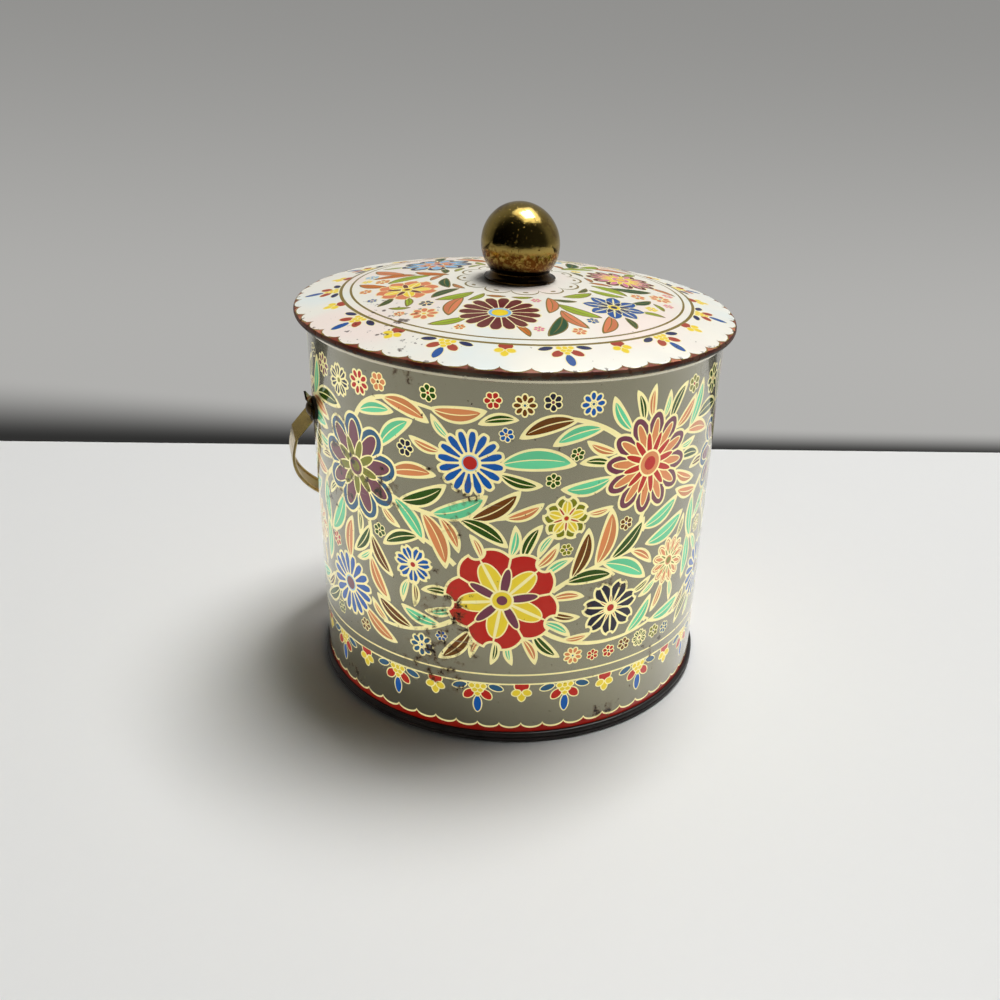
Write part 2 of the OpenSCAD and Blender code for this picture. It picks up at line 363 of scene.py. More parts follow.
# pendants hung from a line: a fan of drops, and a bud with a trefoil halfway between
def makeFestoon():
    tree, wire, give = newGroup(
        "festoon",
        {"Along": "Float", "Down": "Float", "Pitch": "Float", "Line": "Float", "Line Ink": "Color",
         "Centre Ink": "Color", "Side Ink": "Color", "Outer Ink": "Color", "Dot Ink": "Color"},
        {"Colour": "Color", "Mask": "Float"})
    steps = wire["Along"] / wire["Pitch"]
    down = wire["Down"]
    colour, outlines = wire["Line Ink"], []
    for drops, shift in ((fanDrops, 0.5), (budDrops, 0.0)):
        x = abs(calc(tree, "FRACT", steps + shift) - 0.5) * wire["Pitch"]
        for atX, atY, angle, length, half, name in drops:
            drop = place(tree, hangingDrop, {"X": x, "Y": down, "At X": atX, "At Y": atY, "Angle": angle,
                                             "Length": length, "Half": half, "Line": wire["Line"]})
            colour = layer(tree, drop["Outline"], colour, wire["Line Ink"])
            colour = layer(tree, drop["Fill"], colour, wire[name])
            outlines.append(drop["Outline"])
    give("Colour", colour)
    give("Mask", most(*outlines) * (down > 0))
    return tree


festoon = makeFestoon()


# where each kind of wear starts and is full, on noise of the given scale
wearDims = {
    "clusterScale": 30.0, "cluster": (0.56, 0.7), "grainScale": 330.0, "grainInCluster": 0.13,
    "spot": (0.69, 0.76), "core": (0.74, 0.8), "stain": (0.6, 0.71),
    "speckScale": 760.0, "speckInCluster": 0.05, "speck": (0.77, 0.8),
    "scratchRound": 60, "scratchUp": 900, "scratch": (0.68, 0.72), "mottleScale": 70.0, "mottle": (0.3, 0.75),
    "reliefMottle": 0.25, "reliefDepth": 0.00006,
}


# age on printed tin: brown-black spots and stains in a few clusters, fine specks, scratches and a slow mottle
def makeTinWear():
    tree, wire, give = newGroup(
        "tinWear", {"At": "Vector", "Amount": "Float"},
        {label: "Float" for label in ("Spots", "Cores", "Stains", "Scratches", "Mottle")})
    dims, at = wearDims, wire["At"]
    cluster = ramp(noise(tree, at, dims["clusterScale"], 1.0), *dims["cluster"])
    grain = noise(tree, at, dims["grainScale"], 4.0, 0.62) + cluster * dims["grainInCluster"] + wire["Amount"]
    fine = noise(tree, at, dims["speckScale"], 1.0) + cluster * dims["speckInCluster"] + wire["Amount"]
    x, y, z = apart(at)
    drawn = together(tree, x * dims["scratchRound"], y * dims["scratchRound"], z * dims["scratchUp"])
    give("Spots", most(ramp(grain, *dims["spot"]), ramp(fine, *dims["speck"])))
    give("Cores", ramp(grain, *dims["core"]))
    give("Stains", ramp(grain, *dims["stain"]) * cluster)
    give("Scratches", ramp(noise(tree, drawn, 1.0, 2.0), *dims["scratch"]) * cluster)
    give("Mottle", noise(tree, at, dims["mottleScale"], 4.0, 0.6))
    return tree


tinWear = makeTinWear()
print("ink and wear groups ready")


# rows by columns of points, wrapped round in both, since each profile is closed
def gridMesh(name, points):
    rows, columns = points.shape[:2]
    step = np.arange(rows)[:, None]
    turn = np.arange(columns)[None, :]
    below, above = step * columns, (step + 1) % rows * columns
    after = (turn + 1) % columns
    quads = np.stack([below + turn, below + after, above + after, above + turn], -1).reshape(-1, 4)
    mesh = bpy.data.meshes.new(name)
    mesh.from_pydata(points.reshape(-1, 3).tolist(), [], quads.tolist())
    return mesh


# a profile of (radius, height) rows turned about Z: (r cos t, r sin t, z)
def revolve(profile, columns):
    turn = np.linspace(0, 2 * math.pi, columns, endpoint=False)
    radius, height = profile[:, 0, None], profile[:, 1, None]
    return np.stack([radius * np.cos(turn), radius * np.sin(turn), height + 0 * turn], -1)


# points on a circle of a profile, angles in degrees
def arc(centre, radius, start, end, count):
    angle = np.radians(np.linspace(start, end, count))
    return np.stack([centre[0] + radius * np.cos(angle), centre[1] + radius * np.sin(angle)], -1)


def line(start, end, count):
    return np.linspace(np.array(start, float), np.array(end, float), count)


def addPiece(mesh, material, body, node):
    piece = bpy.data.objects.new(mesh.name, mesh)
    bpy.context.scene.collection.objects.link(piece)
    mesh.materials.append(material)
    mesh.shade_smooth()
    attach(piece, body)
    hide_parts(node)


def setAttribute(mesh, name, values, domain, kind="FLOAT_VECTOR"):
    if kind == "FLOAT_COLOR":
        values = np.concatenate([values, np.ones((len(values), 1))], 1)
    part = "color" if kind == "FLOAT_COLOR" else "vector"
    mesh.attributes.new(name, kind, domain).data.foreach_set(part, np.float32(values).ravel())


# the four corners of every face, as places on the flat sheet
def sheetOfFaces(mesh, sheetPoints):
    loopVertex = np.zeros(len(mesh.loops), np.int32)
    mesh.loops.foreach_get("vertex_index", loopVertex)
    return sheetPoints[loopVertex].reshape(-1, 4, 2)


# the way from places to points, the short way round where the sheet is rolled up
def offsets(points, places, wrap):
    gap = points - places
    if wrap:
        gap[..., 0] -= wrap * np.round(gap[..., 0] / wrap)
    return gap


# distance from points to discs
def discGap(points, spots, radius, wrap):
    gap = offsets(points, spots, wrap)
    return np.hypot(gap[..., 0], gap[..., 1]) - radius


# coordinates along and across a direction
def turnedTo(gap, way):
    along = gap[..., 0] * way[..., 0] + gap[..., 1] * way[..., 1]
    across = gap[..., 1] * way[..., 0] - gap[..., 0] * way[..., 1]
    return along, across


# half widths and middle line of a bent leaf at shares t of its length: half (4 t (1 - t)) ** power and
# bend t (1 - t)
def leafLines(part, length, side):
    half = leafShape["half"] * length * (4 * part * (1 - part)) ** leafShape["power"]
    return half, leafShape["bend"] * part * (1 - part) * length * side


# distance from points to a bent leaf: to its middle line at the same share of its length, less its half width
def leafGap(points, spot, way, length, side, wrap):
    along, across = turnedTo(offsets(points, spot, wrap), way)
    part = np.clip(along / length, 0, 1)
    half, middle = leafLines(part, length, side)
    return np.hypot(along - part * length, across - middle) - half


# for each face the indices of the nearest and the second nearest motif, from one array of distances per motif
def nearest(count, gaps):
    best, owner = np.full((2, count), 1e9), np.zeros((2, count), int)
    for index, gap in enumerate(gaps):
        closest = gap < best[0]
        second = ~closest & (gap < best[1])
        best[1, closest], owner[1, closest] = best[0, closest], owner[0, closest]
        best[1, second], owner[1, second] = gap[second], index
        best[0, closest], owner[0, closest] = gap[closest], index
    return owner


# motif-local coordinates of the face corners, so that the shader draws each motif about its own origin:
# along and across the motif's own way, and its size
def writeLocal(mesh, name, corners, spots, ways, sizes, wrap, sides=1):
    along, across = turnedTo(offsets(corners, spots[:, None], wrap), ways[:, None])
    local = np.stack([along, across * sides, np.repeat(sizes[:, None], 4, 1)], -1)
    setAttribute(mesh, name, local.reshape(-1, 3), "CORNER")


def writeFlowers(mesh, corners, rows, generator, wrap):
    centres = corners.mean(1)
    spots, radii = np.array([row[0] for row in rows], float), np.array([row[1] for row in rows])
    turn = generator.uniform(0, 2 * math.pi, len(rows))
    ways = np.stack([np.cos(turn), np.sin(turn)], -1)
    gaps = (discGap(centres, spot, radius, wrap) for spot, radius in zip(spots, radii))
    owner = nearest(len(centres), gaps)[0]
    writeLocal(mesh, "flowerLocal", corners, spots[owner], ways[owner], radii[owner], wrap)
    for index, key in enumerate(("flowerPetals", "flowerTier", "flowerHeart", "flowerInner")):
        shapes = np.array([flowerKinds[row[2]][index] for row in rows], float)
        setAttribute(mesh, key, shapes[owner], "FACE")
    for index, key in enumerate(("petalInk", "tierInk", "heartInk")):
        setAttribute(mesh, key, np.array([row[3 + index] for row in rows])[owner], "FACE", "FLOAT_COLOR")


leafRanks = ("First", "Second")


def writeLeaves(mesh, corners, rows, wrap):
    centres = corners.mean(1)
    spots, ways, lengths, sides, inks = (np.array(column) for column in zip(*rows))
    owners = nearest(len(centres), (leafGap(centres, *row[:4], wrap) for row in rows))
    for rank, owner in zip(leafRanks, owners):
        writeLocal(mesh, "leafLocal" + rank, corners, spots[owner], ways[owner], lengths[owner], wrap,
                   sides[owner][:, None])
        setAttribute(mesh, "leafInk" + rank, inks[owner], "FACE", "FLOAT_COLOR")


def writeStems(mesh, corners, rows, wrap):
    centres = corners.mean(1)
    spots, ways, halves = (np.concatenate(column) for column in zip(*rows))
    owner = nearest(len(centres), (discGap(centres, spot, 0, wrap) for spot in spots))[0]
    writeLocal(mesh, "stemLocal", corners, spots[owner], ways[owner], halves[owner], wrap)


# kinds of flower: petals (count, start, half width), tier (end, half width, petals' power),
# heart (radius, streak, dot), inner petal (end, half width, notch), all as shares of the radius
noInner = (0.5, -1.0, 0.0)
flowerKinds = {
    "layered": ((9, 0.18, 0.29), (0.56, 0.1, 0.42), (0.2, 0.0, 0.5), (0.84, 0.13, 0.0)),
    "primrose": ((5, 0.08, 0.52), (0.64, 0.1, 0.36), (0.2, 0.03, 0.45), (0.74, 0.17, 0.13)),
    "dahlia": ((12, 0.22, 0.23), (0.62, 0.085, 0.5), (0.26, 0.0, 0.5), (0.82, 0.07, 0.0)),
    "sunburst": ((16, 0.24, 0.18), (0.2, 0.02, 0.3), (0.3, 0.0, 0.66), noInner),
    "windmill": ((7, 0.16, 0.34), (0.5, 0.06, 0.4), (0.24, 0.04, 0.5), (0.5, -1.0, 0.09)),
    "star": ((8, 0.18, 0.27), (0.56, 0.1, 0.8), (0.22, 0.03, 0.5), noInner),
    "button": ((8, 0.2, 0.3), (0.2, 0.02, 0.45), (0.2, 0.0, 0.5), noInner),
    "speck": ((6, 0.1, 0.4), (0.2, 0.02, 0.45), (0.26, 0.0, 0.5), noInner),
}


# points and headings on a stem bent like a bow: (1 - t)^2 start + 2 t (1 - t) bend + t^2 end
def bowStem(start, bend, end, share):
    start, bend, end = (np.array(point, float) for point in (start, bend, end))
    t = np.atleast_1d(share)[:, None]
    heading = 2 * (1 - t) * (bend - start) + 2 * t * (end - bend)
    return (1 - t) ** 2 * start + 2 * t * (1 - t) * bend + t * t * end, heading


# leaves along a stem: place of the first, share covered, splay in degrees, length at the ends, shortest,
# and the slope from which the band cuts them short
sprayDims = {"first": 0.1, "covered": 0.82, "splay": 44, "endLength": 0.82, "shortest": 8, "slope": 0.05}


# leaves in turn on both sides of a stem and one at its end, kept within the band from low to high
def sprayLeaves(spray, inks, first, low, high):
    start, bend, end, count, longest = spray
    dims, rows = sprayDims, []
    for index in range(count):
        last = index == count - 1
        share = 1.0 if last else dims["first"] + dims["covered"] * index / (count - 1)
        spot, heading = bowStem(start, bend, end, share)
        side = 1 if index % 2 else -1
        splay = 0 if last else side * math.radians(dims["splay"])
        angle = math.atan2(heading[0, 1], heading[0, 0]) + splay
        way = np.array([math.cos(angle), math.sin(angle)])
        middle = (1 - dims["endLength"]) * math.sin(math.pi * share)
        length = longest * (1.0 if last else dims["endLength"] + middle)
        if abs(way[1]) > dims["slope"]:
            length = min(length, ((high if way[1] > 0 else low) - spot[0, 1]) / way[1])
        if length > dims["shortest"]:
            rows.append((spot[0], way, length, -side, inks[(2 * index + first) % len(inks)]))
    return rows


# points on a leaf from a quarter of its length to its tip: its middle line and both edges
def leafPoints(spot, way, length, side):
    part = np.linspace(0.25, 1, 9)[:, None]
    half, middle = leafLines(part, length, side)
    across = middle + half * np.array([-1, 0, 1])
    along = part * length + 0 * across
    turnedBack = np.stack([along * way[0] - across * way[1], along * way[1] + across * way[0]], -1)
    return np.array(spot) + turnedBack.reshape(-1, 2)


# whether a leaf keeps clear of the leaves laid so far, and its outer part of the flowers
def leafFits(row, leaves, flowers, gap, wrap):
    points = leafPoints(*row[:4])
    outer = points[len(points) // 3:]
    for other in leaves:
        close = discGap(np.array(row[0]), other[0], row[2] + other[2], wrap) < 0
        if close and leafGap(points, *other[:4], wrap).min() <= gap:
            return False
    return all(discGap(outer, spot, radius, wrap).min() > gap for spot, radius, *rest in flowers)


# shares of the wanted length and slight turns, in the order in which they are tried
leafTries = [(share, turn) for share in (1.0, 0.9, 0.78, 0.66, 0.54) for turn in (0.0, 0.25, -0.25)]


# leaves of the sprays, each as long as it can be without lying over another
def fitLeaves(wanted, flowers, dims, wrap):
    leaves = []
    for spot, way, length, side, paint in wanted:
        for share, turn in leafTries:
            turnedWay = np.array([way[0] - turn * way[1], way[1] + turn * way[0]]) / math.hypot(1, turn)
            row = (spot, turnedWay, length * share, side, paint)
            if row[2] > dims["leafShortest"] and leafFits(row, leaves, flowers, dims["leafGap"], wrap):
                leaves.append(row)
                break
    return leaves


# leaves round a flower: ways tried, root as a share of its radius, room to the next stem
tuckDims = {"ways": 22, "root": 0.8, "stemRoom": 1.3}
farAway = 1e6


# single leaves that come out from under the larger flowers wherever the sheet is free
def tuckLeaves(flowers, leaves, stems, inks, dims, inBand, wrap):
    rows = []
    stemSpots = np.concatenate([[(farAway, farAway)]] + [stem[0] for stem in stems])
    for index, (spot, radius, *rest) in enumerate(flowers):
        others = flowers[:index] + flowers[index + 1:]
        for step in range(tuckDims["ways"]):
            angle = 2 * math.pi * step / tuckDims["ways"] + index
            way = np.array([math.cos(angle), math.sin(angle)])
            root = np.array(spot) + way * radius * tuckDims["root"]
            for length in dims["tuckLengths"]:
                row = (root, way, length, 1 if step % 2 else -1, inks[(step + index) % len(inks)])
                points = leafPoints(*row[:4])
                room = discGap(stemSpots[:, None], points[None], 0, wrap).min()
                if (inBand(points) and room > tuckDims["stemRoom"]
                        and leafFits(row, leaves + rows, others, dims["leafGap"], wrap)):
                    rows.append(row)
                    break
    return rows


# stems: millimetres between points, how far one point's stretch is drawn, how near a leaf's root holds it
stemDims = {"step": 1.5, "reach": 1.7, "held": 1.0}


# a stem's points at even steps, its headings, and its half width as it thins to the tip
def stemRow(spray, thick, thin):
    shares = np.linspace(0, 1, 40)
    rough = bowStem(*spray[:3], shares)[0]
    travelled = np.concatenate([[0], np.cumsum(np.hypot(*np.diff(rough, axis=0).T))])
    share = np.interp(np.arange(0, travelled[-1], stemDims["step"]), travelled, shares)
    spots, heading = bowStem(*spray[:3], share)
    return spots, heading / np.hypot(*heading.T)[:, None], thick + (thin - thick) * share


# stems cut off behind the last leaf that fitted
def trimStems(stems, leaves, wrap):
    roots = np.array([row[0] for row in leaves])
    trimmed = []
    for stem in stems:
        held = np.flatnonzero(discGap(stem[0][:, None], roots[None], 0, wrap).min(1) < stemDims["held"])
        if len(held):
            trimmed.append([part[:held[-1] + 1] for part in stem])
    return trimmed


# kinds of small flower by the radius that they need, and how much smaller than its gap a flower may be
fillKinds = [(5.2, ("windmill", "star")), (3.2, ("button", "button", "windmill")), (0.0, ("speck", ))]
fillLeast = 0.88


# fills what is left free on a map of distances with the largest round flower that fits, again and again
def fillGaps(points, free, inks, dims, wrap, generator):
    rows = []
    while free.max() > dims["smallest"] + dims["apart"]:
        spot = points[np.argmax(free)]
        radius = min(free.max() - dims["apart"], dims["largest"]) * generator.uniform(fillLeast, 1.0)
        kinds = next(names for needed, names in fillKinds if radius > needed)
        paints = [inks[index] for index in generator.choice(len(inks), 3, replace=False)]
        rows.append((spot, radius, kinds[generator.integers(len(kinds))], *paints))
        free = np.minimum(free, discGap(points, spot, radius, wrap))
    return rows


# free distance left on a field of points by flowers, leaves and stems
def clearance(points, free, flowers, leaves, stems, wrap):
    for spot, radius, *rest in flowers:
        free = np.minimum(free, discGap(points, spot, radius, wrap))
    for row in leaves:
        free = np.minimum(free, leafGap(points, *row[:4], wrap))
    for spots, ways, halves in stems:
        for spot, half in zip(spots, halves):
            free = np.minimum(free, discGap(points, spot, half, wrap))
    return free


def stemsOn(tree):
    along, across, half = apart(attribute(tree, "stemLocal"))
    return (abs(across) < half) * (abs(along) < stemDims["reach"])


def flowersOn(tree, lineInk, width):
    shapes = ("Local", "Petals", "Tier", "Heart", "Inner")
    values = {label: attribute(tree, "flower" + label) for label in shapes}
    for label in ("petal", "tier", "heart"):
        values[label.capitalize() + " Ink"] = attribute(tree, label + "Ink", "Color")
    return place(tree, printedFlower, {**values, "Line Ink": lineInk, "Line": width})


def leavesOn(tree, rank, lineInk, width):
    return place(tree, printedLeaf, {
        "Local": attribute(tree, "leafLocal" + rank), "Leaf Ink": attribute(tree, "leafInk" + rank, "Color"),
        "Line Ink": lineInk, "Line": width})


# masks and colours of a surface's leaves and flowers, from the lowest up
def motifsOn(tree, leafLine, flowerLine, width):
    found = [leavesOn(tree, rank, leafLine, width) for rank in reversed(leafRanks)]
    return [(motif["Mask"], motif["Colour"]) for motif in found + [flowersOn(tree, flowerLine, width)]]


# a map for baking: two rows of the unrolled sheet, or a disc, with the inside made small beside it
def setBakeMap(mesh, places):
    mesh.uv_layers.new(name="OFBake").uv.foreach_set("vector", np.float32(places).ravel())


# the wall: sheet drum with a curled top edge and a folded seam behind, its print laid out on the flat sheet
wallDims = {
    "sheet": 0.4, "curl": 1.0, "columns": 480, "rowStep": 0.95,
    "seamAt": 90.0, "seamWidth": 4.0, "seamFrom": 3.6, "seamTo": 107.0, "seamEnd": 0.1, "seamLine": 0.36,
    "margin": 2.6, "repeats": 3, "printStart": 76.0, "printFoot": 28.4, "printTop": 122.0, "leafMargin": 0.6,
    "lineWidth": 0.84, "stemThick": 0.85, "stemThin": 0.5, "leafGap": -0.3, "leafShortest": 9.0,
    "tuckLengths": (23.0, 20.0, 17.0, 14.0, 11.5, 9.5),
    "seed": 11, "smallest": 2.4, "largest": 6.0, "apart": 0.5, "fillStep": 1.0,
    "doubleLines": (26.2, 22.6), "doubleLineWidth": 0.62, "pendants": 15, "pendantLine": 0.4,
    "scallops": 60, "scallopTop": 6.9, "scallopDepth": 1.9, "scallopLine": 0.7,
    "mottle": 0.03, "scratches": 0.5, "stains": 0.5, "spots": 0.85, "metallic": 0.8,
    "rough": 0.18, "roughMottle": 0.1, "roughSpots": 0.4, "roughInk": 0.1,
    "shineFrom": (0.14, 0.62), "shineLeast": 0.1, "reliefFold": 2.0, "reliefInk": 0.12,
    "bakeSheet": 0.94, "bakeInside": (0.95, 0.045),
}
# the curl's ink is lighter than the bare tin: a painted highlight, the light line along the top edge under
# the lid
wallInks = {
    "ground": ink(149, 145, 123), "cream": ink(253, 241, 173), "red": ink(184, 34, 24),
    "teal": ink(38, 86, 120), "plum": ink(112, 56, 74), "olive": ink(120, 122, 6),
    "mint": ink(104, 212, 156), "salmon": ink(218, 136, 82), "green": ink(38, 76, 2),
    "brown": ink(108, 58, 6), "blue": ink(4, 84, 164), "navy": ink(24, 22, 46),
    "yellow": ink(236, 208, 52), "sky": ink(150, 196, 220), "band": ink(140, 16, 8),
    "rust": ink(52, 30, 12), "rustCore": ink(18, 11, 7), "stain": ink(96, 66, 26),
    "mottle": ink(196, 186, 150), "bareTin": ink(172, 168, 158), "curl": ink(206, 198, 172),
    "seamLine": ink(84, 78, 66),
}
# inks of the leaves in turn, and of the small flowers
wallLeafInks = ("mint", "salmon", "green", "mint", "brown", "salmon", "green")
wallFillInks = ("red", "blue", "plum", "olive", "salmon", "navy", "teal", "green", "brown")
# one repeat of the print in millimetres: flowers (place, radius, kind, three inks)
wallFlowers = [
    ((25, 89), 17.5, "layered", "teal", "plum", "olive"),
    ((76, 54), 18.5, "primrose", "red", "yellow", "plum"),
    ((123, 96), 17.0, "dahlia", "plum", "salmon", "red"),
    ((18, 45), 11.5, "sunburst", "blue", "sky", "plum"),
    ((112, 48), 10.5, "windmill", "navy", "cream", "red"),
    ((66, 99), 10.5, "sunburst", "blue", "sky", "red"),
    ((95, 82), 7.5, "primrose", "olive", "yellow", "red"),
    ((137, 58), 9.0, "dahlia", "red", "salmon", "olive"),
    ((47, 62), 7.0, "windmill", "blue", "cream", "red"),
]
# its sprays (three points of the bow, leaves, their length)
wallSprays = [
    ((37, 85), (52, 78), (76, 82), 12, 20), ((9, 82), (-4, 72), (6, 60), 10, 19),
    ((93, 58), (104, 66), (124, 68), 12, 20), ((59, 44), (46, 36), (32, 38), 10, 17),
    ((122, 80), (118, 70), (132, 76), 8, 18), ((138, 102), (146, 104), (153, 112), 10, 18),
    ((90, 42), (104, 32), (130, 38), 12, 17), ((26, 105), (32, 118), (54, 114), 12, 17),
    ((110, 107), (98, 116), (80, 113), 12, 18), ((30, 73), (32, 62), (28, 56), 8, 17),
    ((60, 66), (54, 72), (44, 74), 8, 16), ((126, 40), (134, 34), (150, 36), 10, 16),
]
wallLow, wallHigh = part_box("body_wall")
wallRadius = wallHigh.x / mm - 2 * wallDims["curl"] + wallDims["sheet"]
wallTop = wallHigh.z / mm
wallRound = 2 * math.pi * wallRadius
seamPlace = wallDims["seamAt"] / 360 * wallRound


# the wall's print: the repeat laid round the drum, then small flowers in what is left free
def layWallPrint():
    dims, colours = wallDims, wallInks
    foot, top, margin = dims["printFoot"], dims["printTop"], dims["leafMargin"]
    generator = np.random.default_rng(dims["seed"])
    leafInks = [colours[name] for name in wallLeafInks]
    flowers, wanted, stems = [], [], []
    for repeat in range(dims["repeats"]):
        shift = dims["printStart"] + repeat * wallRound / dims["repeats"]
        for (along, up), radius, kind, *names in wallFlowers:
            flowers.append(((along + shift, up), radius, kind, *(colours[name] for name in names)))
        for index, (*bow, count, longest) in enumerate(wallSprays):
            spray = [(along + shift, up) for along, up in bow] + [count, longest]
            wanted += sprayLeaves(spray, leafInks, index, foot + margin, top - margin)
            stems.append(stemRow(spray, dims["stemThick"], dims["stemThin"]))

    def inBand(spots):
        return spots[:, 1].min() > foot + margin and spots[:, 1].max() < top - margin

    wanted = [row for row in wanted if inBand(leafPoints(*row[:4]))]
    leaves = fitLeaves(wanted, flowers, dims, wallRound)
    leaves = [row for row in leaves if inBand(leafPoints(*row[:4]))]
    stems = trimStems(stems, leaves, wallRound)
    leaves += tuckLeaves(flowers, leaves, stems, leafInks, dims, inBand, wallRound)
    across, up = np.arange(0, wallRound, dims["fillStep"]), np.arange(foot, top, dims["fillStep"])
    points = np.stack(np.meshgrid(across, up), -1).reshape(-1, 2)
    free = np.minimum(points[:, 1] - foot, top - points[:, 1])
    free = clearance(points, free, flowers, leaves, stems, wallRound)
    flowers += fillGaps(points, free, [colours[name] for name in wallFillInks], dims, wallRound, generator)
    print("wall print:", len(flowers), "flowers,", len(leaves), "leaves")
    return flowers, leaves, stems, generator


def makePrintedWall():
    dims = wallDims
    inside, curl = wallRadius - dims["sheet"], dims["curl"]
    curlAt = (inside + curl, wallTop - curl)
    foot = wallLow.z / mm
    rows = int((curlAt[1] - foot) / dims["rowStep"])
    seamTo, seamFrom, seamEnd = dims["seamTo"], dims["seamFrom"], dims["seamEnd"]
    seamRows = [(inside, height) for height in (seamTo + seamEnd, seamTo, seamFrom, seamFrom - seamEnd)]
    profile = np.concatenate([
        line((wallRadius, foot), (wallRadius, curlAt[1]), rows),
        arc(curlAt, curl - dims["sheet"], 174, -80, 14),
        arc(curlAt, curl, -80, 180, 22),
        seamRows, [(inside, foot)]])
    points = revolve(profile, dims["columns"])
    turn = np.arange(dims["columns"]) / dims["columns"] * wallRound
    # the fold of the seam stands one sheet inwards between its ends
    folded = np.abs(turn - seamPlace) < dims["seamWidth"] / 2
    seam = np.ix_([-4, -3], np.flatnonzero(folded), [0, 1])
    points[seam] *= 1 - dims["sheet"] / inside
    mesh = gridMesh("printed_wall", points * mm)
    sheetPoints = np.stack(np.broadcast_arrays(turn[None, :], profile[:, 1, None]), -1).reshape(-1, 2)
    corners = sheetOfFaces(mesh, sheetPoints)
    # faces that close the ring reach past its end instead of back to its start
    spread = corners[:, :, 0]
    split = (spread.max(1) - spread.min(1)) > wallRound / 2
    spread[split] += (spread[split] < wallRound / 2) * wallRound
    flowers, leaves, stems, generator = layWallPrint()
    writeFlowers(mesh, corners, flowers, generator, wallRound)
    writeLeaves(mesh, corners, leaves, wallRound)
    writeStems(mesh, corners, stems, wallRound)
    ring = np.repeat(np.arange(len(mesh.polygons)) // dims["columns"], 4)
    outside = ring < rows - 1
    innerRings = len(seamRows) + 2
    curled = (ring >= rows - 1) & (ring < len(profile) - innerRings)
    flat = corners.reshape(-1, 2)
    setAttribute(mesh, "sheetPlace", np.column_stack([flat, outside + 2.0 * curled]), "CORNER")
    half = wallRound / 2
    upper = np.repeat(spread.mean(1) > half, 4)
    scale = dims["bakeSheet"] / (2 * wallTop)
    bakeMap = np.stack([(flat[:, 0] - upper * half) * scale, (flat[:, 1] + upper * wallTop) * scale], -1)
    start, depth = dims["bakeInside"]
    step = (ring - rows + (np.arange(len(ring)) % 4 > 1)) / (len(profile) - rows + 1)
    bakeMap[~outside] = np.stack([flat[:, 0] / wallRound, start + depth * step], -1)[~outside]
    setBakeMap(mesh, bakeMap)
    return mesh


def wallFinish():
    dims, colours = wallDims, wallInks
    material, tree, shader = newMaterial("printedWall")
    along, height, side = apart(attribute(tree, "sheetPlace"))
    cream = colours["cream"]
    prints = [(stemsOn(tree), cream)] + motifsOn(tree, cream, cream, dims["lineWidth"])
    colour, inked = overprint(tree, colours["ground"], None, prints)
    border = height < dims["doubleLines"][0]
    colour = layer(tree, border, colour, colours["ground"])
    hung = place(tree, festoon, {
        "Along": along, "Down": dims["doubleLines"][1] - height, "Pitch": wallRound / dims["pendants"],
        "Line": dims["pendantLine"], "Line Ink": cream, "Centre Ink": colours["blue"],
        "Side Ink": colours["red"], "Outer Ink": colours["teal"], "Dot Ink": colours["yellow"]})
    edge = place(tree, scallopEdge, {
        "Along": along, "Height": height - dims["scallopTop"], "Pitch": wallRound / dims["scallops"],
        "Depth": dims["scallopDepth"], "Line": dims["scallopLine"]})
    prints = [(abs(height - level) < dims["doubleLineWidth"] / 2, cream) for level in dims["doubleLines"]]
    prints += [(hung["Mask"], hung["Colour"]), (edge["Stroke"], cream), (edge["Beyond"], colours["band"])]
    colour, inked = overprint(tree, colour, inked * (1 - border), prints)
    margin = abs(along - seamPlace) < dims["margin"]
    fold = abs(along - seamPlace - dims["seamWidth"] / 2) < dims["seamLine"] / 2
    wear = place(tree, tinWear, {"At": coordinates(tree), "Amount": 0.0})
    mottle = ramp(wear["Mottle"], *wearDims["mottle"])
    outside = (side > 0.5) * (side < 1.5)
    curled = side > 1.5
    # the curl is laid in its lighter ink, a painted highlight along the top edge
    for mask, name in ((margin, "ground"), (fold, "seamLine"), (mottle * dims["mottle"], "mottle"),
                       (wear["Scratches"] * dims["scratches"], "ground"),
                       (wear["Stains"] * dims["stains"], "stain"), (wear["Spots"] * dims["spots"], "rust"),
                       (wear["Cores"], "rustCore"), (1 - outside, "bareTin"), (curled, "curl")):
        colour = layer(tree, mask, colour, colours[name])
    feed(tree, shader.inputs["Base Color"], colour)
    inked = inked * (1 - margin) * outside
    bare = (1 - inked) * (1 - wear["Spots"])
    feed(tree, shader.inputs["Metallic"], bare * dims["metallic"])
    rough = dims["rough"] + mottle * dims["roughMottle"] + wear["Spots"] * dims["roughSpots"]
    feed(tree, shader.inputs["Roughness"], rough + inked * dims["roughInk"])
    shader.inputs["Specular IOR Level"].default_value = 0.05
    # the varnish lets the metal's shine through at a slant
    slant = tree.nodes.new("ShaderNodeLayerWeight")
    slant.inputs["Blend"].default_value = 0.5
    shine = ramp(Wire(tree, slant.outputs["Facing"]), *dims["shineFrom"])
    feed(tree, shader.inputs["Coat Weight"], shine * (1 - dims["shineLeast"]) + dims["shineLeast"])
    shader.inputs["Coat IOR"].default_value = 2.0
    shader.inputs["Coat Roughness"].default_value = 0.06
    relief = wear["Mottle"] * wearDims["reliefMottle"] - wear["Spots"]
    relief = relief - fold * outside * dims["reliefFold"] + inked * dims["reliefInk"]
    bump(tree, shader, relief, wearDims["reliefDepth"])
    return material


addPiece(makePrintedWall(), wallFinish(), "tin", "body_wall")
print("wall printed")


